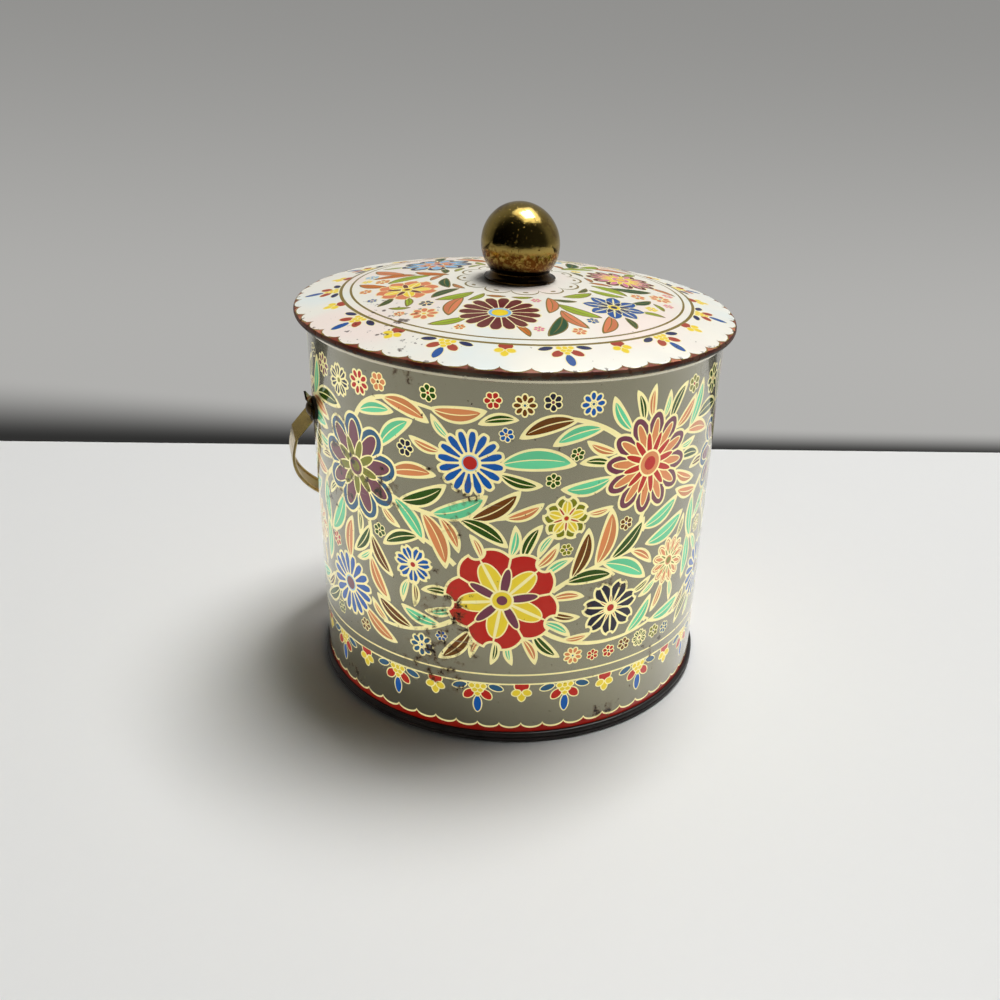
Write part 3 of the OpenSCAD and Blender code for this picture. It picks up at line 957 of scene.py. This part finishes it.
# the lid: a shallow dome with its edge curled under, the print laid out on the flat disc before it was drawn
lidDims = {
    "sheet": 0.4, "curl": 1.3, "hole": 2.05, "columns": 440, "rowStep": 0.85, "curlRows": 36,
    "curlFrom": 86, "curlTo": -195, "lineWidth": 0.42, "seed": 5,
    "ringLines": ((54.7, 0.75), (57.9, 1.05)), "fieldFrom": 21.8, "fieldTo": 53.4, "fieldMargin": 3,
    "pendants": 11, "pendantsFrom": 58.3, "pendantsAt": 63.0, "pendantLine": 0.3,
    "scallops": 50, "scallopFrom": 70.7, "scallopDepth": 2.4, "scallopLine": 0.42, "scallopWobble": 0.9,
    "doilyFrom": 16.4, "doilyScallops": 12, "doilyDepth": 4.2, "doilyLine": 0.7,
    "doilyDot": (18.1, 0.95, 0.55), "rimFrom": 72.9, "rimShadeBlack": 73.9, "rimWobble": 0.8, "wobbleScale": 300.0,
    "sectors": 6, "largeAt": 37.0, "largeRadius": (12.6, 10.2), "leafGap": 0.2, "leafShortest": 6.0,
    "tuckLengths": (14.5, 12.5, 10.5, 8.5), "smallest": 2.0, "largest": 4.6, "apart": 0.8, "fillStep": 0.6,
    "reflectionTintScale": 24.0, "pinkReflectionTint": (0.5, 0.68), "coolReflectionTint": (0.48, 0.3), "wornScale": 110.0, "worn": (0.47, 0.66),
    "wear": -0.02, "rimWear": (69.5, 73.2), "chipScale": 420.0, "chipAtRim": 0.1, "chip": (0.66, 0.72),
    "mottle": 0.06, "chips": 0.85, "metallicPrint": 0.1, "metallicInside": 0.8,
    "rough": 0.36, "roughMottle": 0.1, "roughChips": 0.35, "bakeDisc": 0.49, "bakeInside": (0.08, 0.075),
}
# the rim is maroon; the near black beyond it on the curl's outer, lower face is painted shade under the lid's
# edge
lidInks = {
    "ground": ink(245, 242, 230), "line": ink(128, 110, 40), "cream": ink(246, 236, 180),
    "burgundy": ink(100, 24, 30), "pink": ink(222, 120, 156), "navy": ink(16, 30, 84),
    "lightBlue": ink(134, 186, 226), "lime": ink(156, 182, 30), "green": ink(8, 76, 40),
    "orange": ink(212, 108, 22), "coral": ink(222, 128, 84), "yellow": ink(244, 214, 44),
    "blue": ink(10, 80, 156), "red": ink(168, 58, 40), "tongue": ink(122, 50, 34), "peach": ink(200, 128, 98),
    "rim": ink(58, 19, 12), "rimShadeBlack": ink(18, 9, 6), "rust": ink(60, 34, 18), "mottle": ink(226, 206, 160),
    "bareTin": ink(176, 170, 160), "pinkReflectionTint": ink(249, 234, 224), "coolReflectionTint": ink(232, 241, 238),
}
lidLeafInks = ("lime", "green", "orange", "lime", "coral")
lidFillInks = ("coral", "blue", "pink", "orange", "navy", "yellow", "lightBlue", "coral")
# one sector's sprays as (angle in sectors, radius) points, leaves and their length
lidSprays = [
    ((0.5, 22.2), (0.62, 28.0), (0.47, 39.0), 7, 15.5), ((0.34, 22.4), (0.3, 24.0), (0.2, 25.5), 3, 12.0),
    ((0.66, 22.4), (0.7, 24.0), (0.8, 25.5), 3, 12.0), ((0.2, 49.0), (0.3, 51.0), (0.4, 50.4), 4, 13.0),
]
lidBold = [
    ("dahlia", "burgundy", "pink", "yellow"), ("windmill", "lightBlue", "yellow", "navy"),
    ("layered", "navy", "lightBlue", "coral"), ("primrose", "coral", "yellow", "burgundy"),
    ("sunburst", "burgundy", "lightBlue", "yellow"), ("star", "blue", "yellow", "navy"),
]
lidLow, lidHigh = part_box("lid_cover")
lidRadius = lidHigh.x / mm
lidCurlAt = (lidRadius - lidDims["curl"], lidLow.z / mm + lidDims["curl"])
lidCrown = lidHigh.z / mm - lidCurlAt[1]
domeRadius = (lidCurlAt[0] ** 2 + lidCrown ** 2 - lidDims["curl"] ** 2) / (2 * (lidCrown - lidDims["curl"]))
domeCentre = lidHigh.z / mm - domeRadius


# the lid's print: a large flower in each sector, sprays between them, small flowers in what is left free
def layLidPrint():
    dims, colours = lidDims, lidInks
    generator = np.random.default_rng(dims["seed"])
    leafInks = [colours[name] for name in lidLeafInks]
    flowers, wanted = [], []

    def polar(sector, turn, radius):
        angle = 2 * math.pi * (sector + turn) / dims["sectors"]
        return np.array([radius * math.cos(angle), radius * math.sin(angle)])

    for sector in range(dims["sectors"]):
        kind, *names = lidBold[sector]
        spot, radius = polar(sector, 0, dims["largeAt"] + sector % 2), dims["largeRadius"][sector % 2]
        flowers.append((spot, radius, kind, *(colours[name] for name in names)))
        for index, (*bow, count, longest) in enumerate(lidSprays):
            spray = [polar(sector, turn, reach) for turn, reach in bow] + [count, longest]
            wanted += sprayLeaves(spray, leafInks, index + sector, -farAway, farAway)

    def inBand(spots):
        reach = np.hypot(*spots.T)
        return reach.min() > dims["fieldFrom"] and reach.max() < dims["fieldTo"]

    leaves = fitLeaves(wanted, flowers, dims, None)
    leaves = [row for row in leaves if inBand(leafPoints(*row[:4]))]
    leaves += tuckLeaves(flowers, leaves, [], leafInks, dims, inBand, None)
    spots = np.arange(-dims["fieldTo"], dims["fieldTo"], dims["fillStep"])
    points = np.stack(np.meshgrid(spots, spots), -1).reshape(-1, 2)
    reach = np.hypot(*points.T)
    free = np.minimum(reach - dims["fieldFrom"], dims["fieldTo"] - reach)
    free = clearance(points, free, flowers, leaves, [], None)
    flowers += fillGaps(points, free, [colours[name] for name in lidFillInks], dims, None, generator)
    print("lid print:", len(flowers), "flowers,", len(leaves), "leaves")
    return flowers, leaves, generator


def makePrintedLid():
    dims = lidDims
    lean = math.degrees(math.atan2(lidCurlAt[0], lidCurlAt[1] - domeCentre))
    pierced = math.degrees(math.asin(dims["hole"] / domeRadius))
    rows = int((lidRadius - dims["hole"]) / dims["rowStep"])
    curl = dims["curl"]
    profile = np.concatenate([
        arc((0, domeCentre), domeRadius, 90 - pierced, 90 - lean, rows),
        arc(lidCurlAt, curl, dims["curlFrom"] - lean, dims["curlTo"], dims["curlRows"]),
        arc(lidCurlAt, curl - dims["sheet"], dims["curlTo"], 90 - lean, 24),
        arc((0, domeCentre), domeRadius - dims["sheet"], 90 - lean * 0.97, 90 - pierced, 26)])
    mesh = gridMesh("printed_lid", revolve(profile, dims["columns"]) * mm)
    mesh.flip_normals()
    # on the flat disc a point lies as far out as the sheet runs from the hole
    travelled = dims["hole"] + np.concatenate([[0], np.cumsum(np.hypot(*np.diff(profile, axis=0).T))])
    sheetReach = np.stack([travelled, 0 * travelled], -1)
    corners = sheetOfFaces(mesh, revolve(sheetReach, dims["columns"])[..., :2].reshape(-1, 2))
    flowers, leaves, generator = layLidPrint()
    writeFlowers(mesh, corners, flowers, generator, None)
    writeLeaves(mesh, corners, leaves, None)
    ring = np.repeat(np.arange(len(mesh.polygons)) // dims["columns"], 4)
    lip = rows + dims["curlRows"] - 1
    outside = ring < lip
    flat = corners.reshape(-1, 2)
    setAttribute(mesh, "discPlace", np.column_stack([flat, outside]), "CORNER")
    bakeMap = 0.5 + flat * dims["bakeDisc"] / travelled[lip]
    middle, reach = dims["bakeInside"]
    bakeMap[~outside] = middle + (flat * reach / travelled[-1])[~outside]
    setBakeMap(mesh, bakeMap)
    return mesh


def lidFinish():
    dims, colours = lidDims, lidInks
    material, tree, shader = newMaterial("printedLid")
    x, y, outside = apart(attribute(tree, "discPlace"))
    reach = calc(tree, "SQRT", x * x + y * y)
    turn = calc(tree, "ARCTAN2", y, x)
    at = coordinates(tree)
    # pink and cool tints in patches over the white ground: painted reflection of the room
    reflectionTintNoise = noise(tree, at, dims["reflectionTintScale"], 2.0)
    colour = layer(tree, ramp(reflectionTintNoise, *dims["pinkReflectionTint"]), colours["ground"], colours["pinkReflectionTint"])
    colour = layer(tree, ramp(reflectionTintNoise, *dims["coolReflectionTint"]), colour, colours["coolReflectionTint"])
    field = (reach < dims["fieldTo"]) * (reach > dims["fieldFrom"] - dims["fieldMargin"])
    doilyPitch = 2 * math.pi / dims["doilyScallops"]
    doily = place(tree, scallopEdge, {
        "Along": turn, "Height": dims["doilyFrom"] - reach, "Pitch": doilyPitch,
        "Depth": dims["doilyDepth"], "Line": dims["doilyLine"]})
    dotAt, dotLong, dotShort = dims["doilyDot"]
    dotAlong = doily["Offset"] * (doilyPitch * dotAt / 2 / dotLong)
    dotOut = (reach - dotAt) / dotShort
    dots = (dotAlong * dotAlong + dotOut * dotOut) < 1
    hung = place(tree, festoon, {
        "Along": turn * dims["pendantsAt"], "Down": reach - dims["pendantsFrom"],
        "Pitch": 2 * math.pi * dims["pendantsAt"] / dims["pendants"],
        "Line": dims["pendantLine"], "Line Ink": colours["cream"], "Centre Ink": colours["blue"],
        "Side Ink": colours["red"], "Outer Ink": colours["navy"], "Dot Ink": colours["yellow"]})
    wobble = noise(tree, at, dims["wobbleScale"], 2.0) - 0.5
    edge = place(tree, scallopEdge, {
        "Along": turn, "Height": dims["scallopFrom"] - reach + wobble * dims["scallopWobble"],
        "Pitch": 2 * math.pi / dims["scallops"], "Depth": dims["scallopDepth"], "Line": dims["scallopLine"]})
    worn = ramp(noise(tree, at, dims["wornScale"], 3.0), *dims["worn"])
    tongue = layer(tree, worn, colours["tongue"], colours["peach"])
    wavy = reach + wobble * dims["rimWobble"]
    motifs = motifsOn(tree, colours["line"], colours["cream"], dims["lineWidth"])
    prints = [(mask * field, paint) for mask, paint in motifs]
    prints += [(abs(reach - radius) < width / 2, colours["line"]) for radius, width in dims["ringLines"]]
    # past the maroon rim the curl is painted near black: painted shade on its outer, lower face
    prints += [(doily["Stroke"], colours["line"]), (dots, colours["line"]), (hung["Mask"], hung["Colour"]),
               (edge["Stroke"], colours["line"]), (edge["Beyond"], tongue),
               (wavy > dims["rimFrom"], colours["rim"]), (wavy > dims["rimShadeBlack"], colours["rimShadeBlack"])]
    colour, inked = overprint(tree, colour, None, prints)
    wear = place(tree, tinWear, {"At": at, "Amount": dims["wear"]})
    rimWear = ramp(reach, *dims["rimWear"])
    flaked = ramp(noise(tree, at, dims["chipScale"], 3.0) + rimWear * dims["chipAtRim"], *dims["chip"])
    chips = most(wear["Spots"], flaked * rimWear)
    mottle = ramp(wear["Mottle"], *wearDims["mottle"])
    for mask, name in ((mottle * dims["mottle"], "mottle"), (chips * dims["chips"], "rust"),
                       (1 - outside, "bareTin")):
        colour = layer(tree, mask, colour, colours[name])
    feed(tree, shader.inputs["Base Color"], colour)
    bare = (1 - inked) * outside * dims["metallicPrint"] + (1 - outside) * dims["metallicInside"]
    feed(tree, shader.inputs["Metallic"], bare * (1 - chips))
    rough = dims["rough"] + mottle * dims["roughMottle"] + chips * dims["roughChips"]
    feed(tree, shader.inputs["Roughness"], rough)
    shader.inputs["Specular IOR Level"].default_value = 0.2
    bump(tree, shader, wear["Mottle"] * wearDims["reliefMottle"] - chips, wearDims["reliefDepth"])
    return material


addPiece(makePrintedLid(), lidFinish(), "lid", "lid_cover")
print("lid printed")


# noise scales of aged metal, where blotches and pits start and are full, and what these add to the roughness
metalDims = {
    "cloudScale": 90.0, "worseScale": 900.0, "worse": (1.5, -0.6), "lowerPaintedShade": 0.5,
    "footShadeFrom": (0.0008, 0.003), "blotch": (0.66, 0.84), "blotchTarnish": (0.4, 0.3), "pitFiner": 4,
    "pit": (0.66, 0.72), "soilAndShade": 0.94, "darkPit": 0.3, "footShadeDark": 0.1, "soilAndShadeDark": 0.08,
    "roughBlotch": 0.14, "roughPit": 0.3, "reliefPit": 0.6,
}


# aged metal: bright colour, tarnish in blotches, pits and the grain of a worn lacquer
def agedMetal(name, bright, dark, tarnish, rough, metallic=1.0, pitScale=260.0, pitDepth=0.00005,
              tarnishAndShadeFrom=None, soiledAndShadedEnds=None):
    dims = metalDims
    material, tree, shader = newMaterial(name)
    at = coordinates(tree)
    cloud = noise(tree, at, dims["cloudScale"], 5.0, 0.62)
    if tarnishAndShadeFrom:
        height = apart(at)[2]
        low = ramp(height, *tarnishAndShadeFrom)
        more, less = dims["worse"]
        cloud = cloud + low * (noise(tree, at, dims["worseScale"], 3.0, 0.7) * more + less)
    ends = (end - tarnish * share for end, share in zip(dims["blotch"], dims["blotchTarnish"]))
    blotch = ramp(cloud, *ends)
    pits = ramp(noise(tree, at, pitScale * dims["pitFiner"], 2.0), *dims["pit"])
    colour = layer(tree, blotch, bright, dark)
    colour = layer(tree, pits, colour, dark * dims["darkPit"])
    # towards the bottom the colour is darkened over the tarnish: painted shade on the lower part, and near
    # black just above the foot as painted shade where it sits on the collar
    if tarnishAndShadeFrom:
        colour = layer(tree, low * dims["lowerPaintedShade"], colour, dark)
        foot = ramp(height, *(tarnishAndShadeFrom[1] - below for below in dims["footShadeFrom"]))
        colour = layer(tree, foot, colour, dark * dims["footShadeDark"])
    # near the pivots the metal is darkened to near black: dirt and painted shade where the legs lie by the
    # wall
    if soiledAndShadedEnds:
        pivot, way, near, far = soiledAndShadedEnds
        y, z = apart(at)[1:]
        reach = (y - pivot[0]) * way[0] + (z - pivot[1]) * way[1]
        colour = layer(tree, ramp(reach, far, near) * dims["soilAndShade"], colour, dark * dims["soilAndShadeDark"])
    feed(tree, shader.inputs["Base Color"], colour)
    shader.inputs["Metallic"].default_value = metallic
    feed(tree, shader.inputs["Roughness"], rough + blotch * dims["roughBlotch"] + pits * dims["roughPit"])
    bump(tree, shader, noise(tree, at, pitScale, 4.0) - pits * dims["reliefPit"], pitDepth)
    return material


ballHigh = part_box("knob_shell")[1]
ballCentre = ballHigh.z - ballHigh.x
# the bail's legs run from the pivots towards the middle of its box
pivot = np.mean([(corner.y, corner.z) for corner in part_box("rivet_left")], 0)
legWay = np.mean([(corner.y, corner.z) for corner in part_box("bail")], 0) - pivot
legWay = legWay / np.hypot(*legWay)
nodeFinishes = {
    # the ball's lower part has tarnish mottle with painted shade, darkest at its foot
    "knob_shell": agedMetal("agedBallBrass", ink(178, 154, 84), ink(96, 58, 20), 0.42, 0.12, pitDepth=0.0001,
                            tarnishAndShadeFrom=(ballCentre + 0.002, ballCentre - 0.005)),
    # the collar's dark brass is darkened further as painted shade
    "knob_collar": agedMetal("patinaAndShadeCollarBrass", ink(92, 68, 32), ink(20, 12, 8), 0.66, 0.2),
    # the bail is darkened by its pivots, dirt and painted shade
    "bail": agedMetal("agedBailBrass", ink(184, 156, 74), ink(86, 64, 18), 0.42, 0.16,
                      soiledAndShadedEnds=(pivot, legWay, 0.0015, 0.0045)),
    "rivet_left": agedMetal("darkRivetBrass", ink(96, 76, 46), ink(36, 26, 18), 0.5, 0.36),
    "lug_left": agedMetal("blackLug", ink(44, 38, 34), ink(20, 17, 15), 0.5, 0.45, 0.4),
    "base_end": agedMetal("blackBase", ink(30, 26, 24), ink(12, 10, 10), 0.5, 0.34, 0.2),
    "lid_plug": agedMetal("dullTin", ink(176, 172, 162), ink(116, 110, 98), 0.3, 0.32),
    "knob_screw": agedMetal("dullSteel", ink(140, 138, 134), ink(80, 74, 66), 0.3, 0.36),
}
sameFinish = {
    "rivet_right": "rivet_left", "lug_right": "lug_left", "burr_left": "lid_plug", "burr_right": "lid_plug",
    "knob_washer": "knob_screw", "knob_insert": "knob_screw",
}
for node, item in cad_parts.items():
    finish = nodeFinishes.get(sameFinish.get(node, node))
    if finish:
        item.data.materials.clear()
        item.data.materials.append(finish)
print("metal pieces finished")

# the stage: a pale table that ends behind the tin, a room that is grey behind and dark in front, a broad lamp
# high behind to the right and low fills round the front; directions are those of the camera's side
viewDims = {
    "turn": 21.1, "away": 350.7, "height": 216.4, "yaw": 5.53, "pitch": 29.68, "roll": 4.08,
    "focalPixels": 1042.8, "middle": (600, 600), "image": 1000,
}
stageDims = {
    "reach": 2.2, "tableBack": 0.1958, "tableTilt": 3.65, "table": ink(238, 238, 236), "lampsAim": 0.08,
}
roomDims = {
    "front": 0.014, "back": 0.275, "facing": (-0.35, 0.6), "glow": 0.17, "glowFrom": (0.05, -0.3),
    "tilt": 0.05, "joint": 0.396, "jointTilt": 0.006, "jointShade": 0.93, "jointWide": (0.068, 0.026),
    "jointSides": (-0.62, 0.2), "jointBehind": 0.2, "tint": (1, 0.99, 0.96), "diffuseLess": 0.92,
    "plainFrom": (0.8, 1.1), "plainBehind": 0.3, "plain": 0.36, "leastBehind": 0.05,
}
lightDims = {
    "window": {"at": (0.5, 0.42, 2.3), "size": (1.0, 1.0), "power": 53.0},
    "windowGlow": {"at": (0.5, 0.42, 2.3), "size": (2.0, 2.0), "power": 26.0},
    "frontFill": {"at": (-0.1, -2.6, 0.03), "size": (2.4, 0.04), "power": 29.0},
    "leftFill": {"at": (-2.6, 0.0, 0.03), "size": (2.0, 0.04), "power": 42.0},
    "rightFill": {"at": (2.6, -0.1, 0.03), "size": (2.0, 0.04), "power": 39.0},
}


def turned(vector):
    return Matrix.Rotation(math.radians(-viewDims["turn"]), 3, "Z") @ Vector(vector)


def addStage():
    reach = stageDims["reach"]
    tilt = math.radians(stageDims["tableTilt"])
    aside = Vector((math.cos(tilt), math.sin(tilt), 0)) * reach
    back = Vector((-math.sin(tilt), math.cos(tilt), 0))
    front, edge = back * -reach, back * stageDims["tableBack"]
    corners = [front - aside, front + aside, edge + aside, edge - aside]
    mesh = bpy.data.meshes.new("table_top")
    mesh.from_pydata([turned(corner) for corner in corners], [], [(0, 1, 2, 3)])
    material, tree, shader = newMaterial("paleTable")
    grain = noise(tree, coordinates(tree), 180.0, 3.0)
    shade = layer(tree, grain * 0.06, stageDims["table"], stageDims["table"] * 0.8)
    feed(tree, shader.inputs["Base Color"], shade)
    shader.inputs["Roughness"].default_value = 0.5
    shader.inputs["Specular IOR Level"].default_value = 0.3
    table = bpy.data.objects.new("table_top", mesh)
    mesh.materials.append(material)
    bpy.context.scene.collection.objects.link(table)


def addLamp(name, glossy):
    dims = lightDims[name]
    lamp = bpy.data.lights.new(name, "AREA")
    lamp.shape = "RECTANGLE"
    lamp.size, lamp.size_y = dims["size"]
    lamp.energy = dims["power"]
    item = bpy.data.objects.new(name, lamp)
    item.location = turned(dims["at"])
    aim = Vector((0, 0, stageDims["lampsAim"])) - item.location
    item.rotation_euler = aim.to_track_quat("-Z", "Y").to_euler()
    item.visible_camera = False
    item.visible_glossy = glossy
    item.visible_diffuse = name != "windowGlow"
    bpy.context.scene.collection.objects.link(item)


# the room by direction: front to back, a glow low on the back wall, shade where it meets the table,
# and plain to the sides
def addWorld():
    world = bpy.data.worlds.new("plainRoom")
    bpy.context.scene.world = world
    world.use_nodes = True
    tree = world.node_tree
    dims = roomDims
    tilt = math.radians(stageDims["tableTilt"])
    back = turned((-math.sin(tilt), math.cos(tilt), 0))
    side = turned((math.cos(tilt), math.sin(tilt), 0))
    x, y, z = apart(coordinates(tree, "Generated"))
    behind = x * back.x + y * back.y
    ahead = most(behind, dims["leastBehind"])
    slope = z / ahead
    lean = (x * side.x + y * side.y) / ahead
    facing = ramp(behind, *dims["facing"])
    level = facing * (dims["back"] - dims["front"]) + dims["front"]
    level = (level + ramp(slope, *dims["glowFrom"]) * facing * dims["glow"]) * (1 + lean * dims["tilt"])
    wide, narrow = dims["jointWide"]
    width = ramp(lean, *dims["jointSides"]) * (narrow - wide) + wide
    joint = ramp((slope + dims["joint"] + lean * dims["jointTilt"]) / width, 1.0, 0.0)
    level = level * (1 - joint * (behind > dims["jointBehind"]) * dims["jointShade"])
    path = tree.nodes.new("ShaderNodeLightPath")
    level = level * (1 - Wire(tree, path.outputs["Is Diffuse Ray"]) * dims["diffuseLess"])
    plain = most(ramp(abs(lean), *dims["plainFrom"]), behind < dims["plainBehind"])
    plain = plain * Wire(tree, path.outputs["Is Camera Ray"])
    level = level * (1 - plain) + plain * dims["plain"]
    colour = together(tree, *(level * part for part in dims["tint"]))
    tree.links.new(colour.socket, tree.nodes["Background"].inputs["Color"])


def addCamera():
    yaw, pitch, roll = (math.radians(viewDims[key]) for key in ("yaw", "pitch", "roll"))
    forward = Vector((math.sin(yaw) * math.cos(pitch), math.cos(yaw) * math.cos(pitch), -math.sin(pitch)))
    level = Vector((math.cos(yaw), -math.sin(yaw), 0))
    up = level.cross(forward)
    right = level * math.cos(roll) + up * math.sin(roll)
    up = up * math.cos(roll) - level * math.sin(roll)
    data = bpy.data.cameras.new("camera")
    data.sensor_width = 36.0
    data.lens = viewDims["focalPixels"] / viewDims["image"] * data.sensor_width
    data.shift_x = (viewDims["image"] / 2 - viewDims["middle"][0]) / viewDims["image"]
    data.shift_y = (viewDims["middle"][1] - viewDims["image"] / 2) / viewDims["image"]
    camera = bpy.data.objects.new("camera", data)
    basis = Matrix((turned(right), turned(up), turned(-forward))).transposed().to_4x4()
    basis.translation = turned((0, -viewDims["away"] * mm, viewDims["height"] * mm))
    camera.matrix_world = basis
    bpy.context.scene.collection.objects.link(camera)
    bpy.context.scene.camera = camera


addStage()
for name in lightDims:
    addLamp(name, glossy=name.startswith("window"))
addWorld()
addCamera()
bpy.context.scene.view_settings.view_transform = "Standard"
print("stage, light and camera ready")
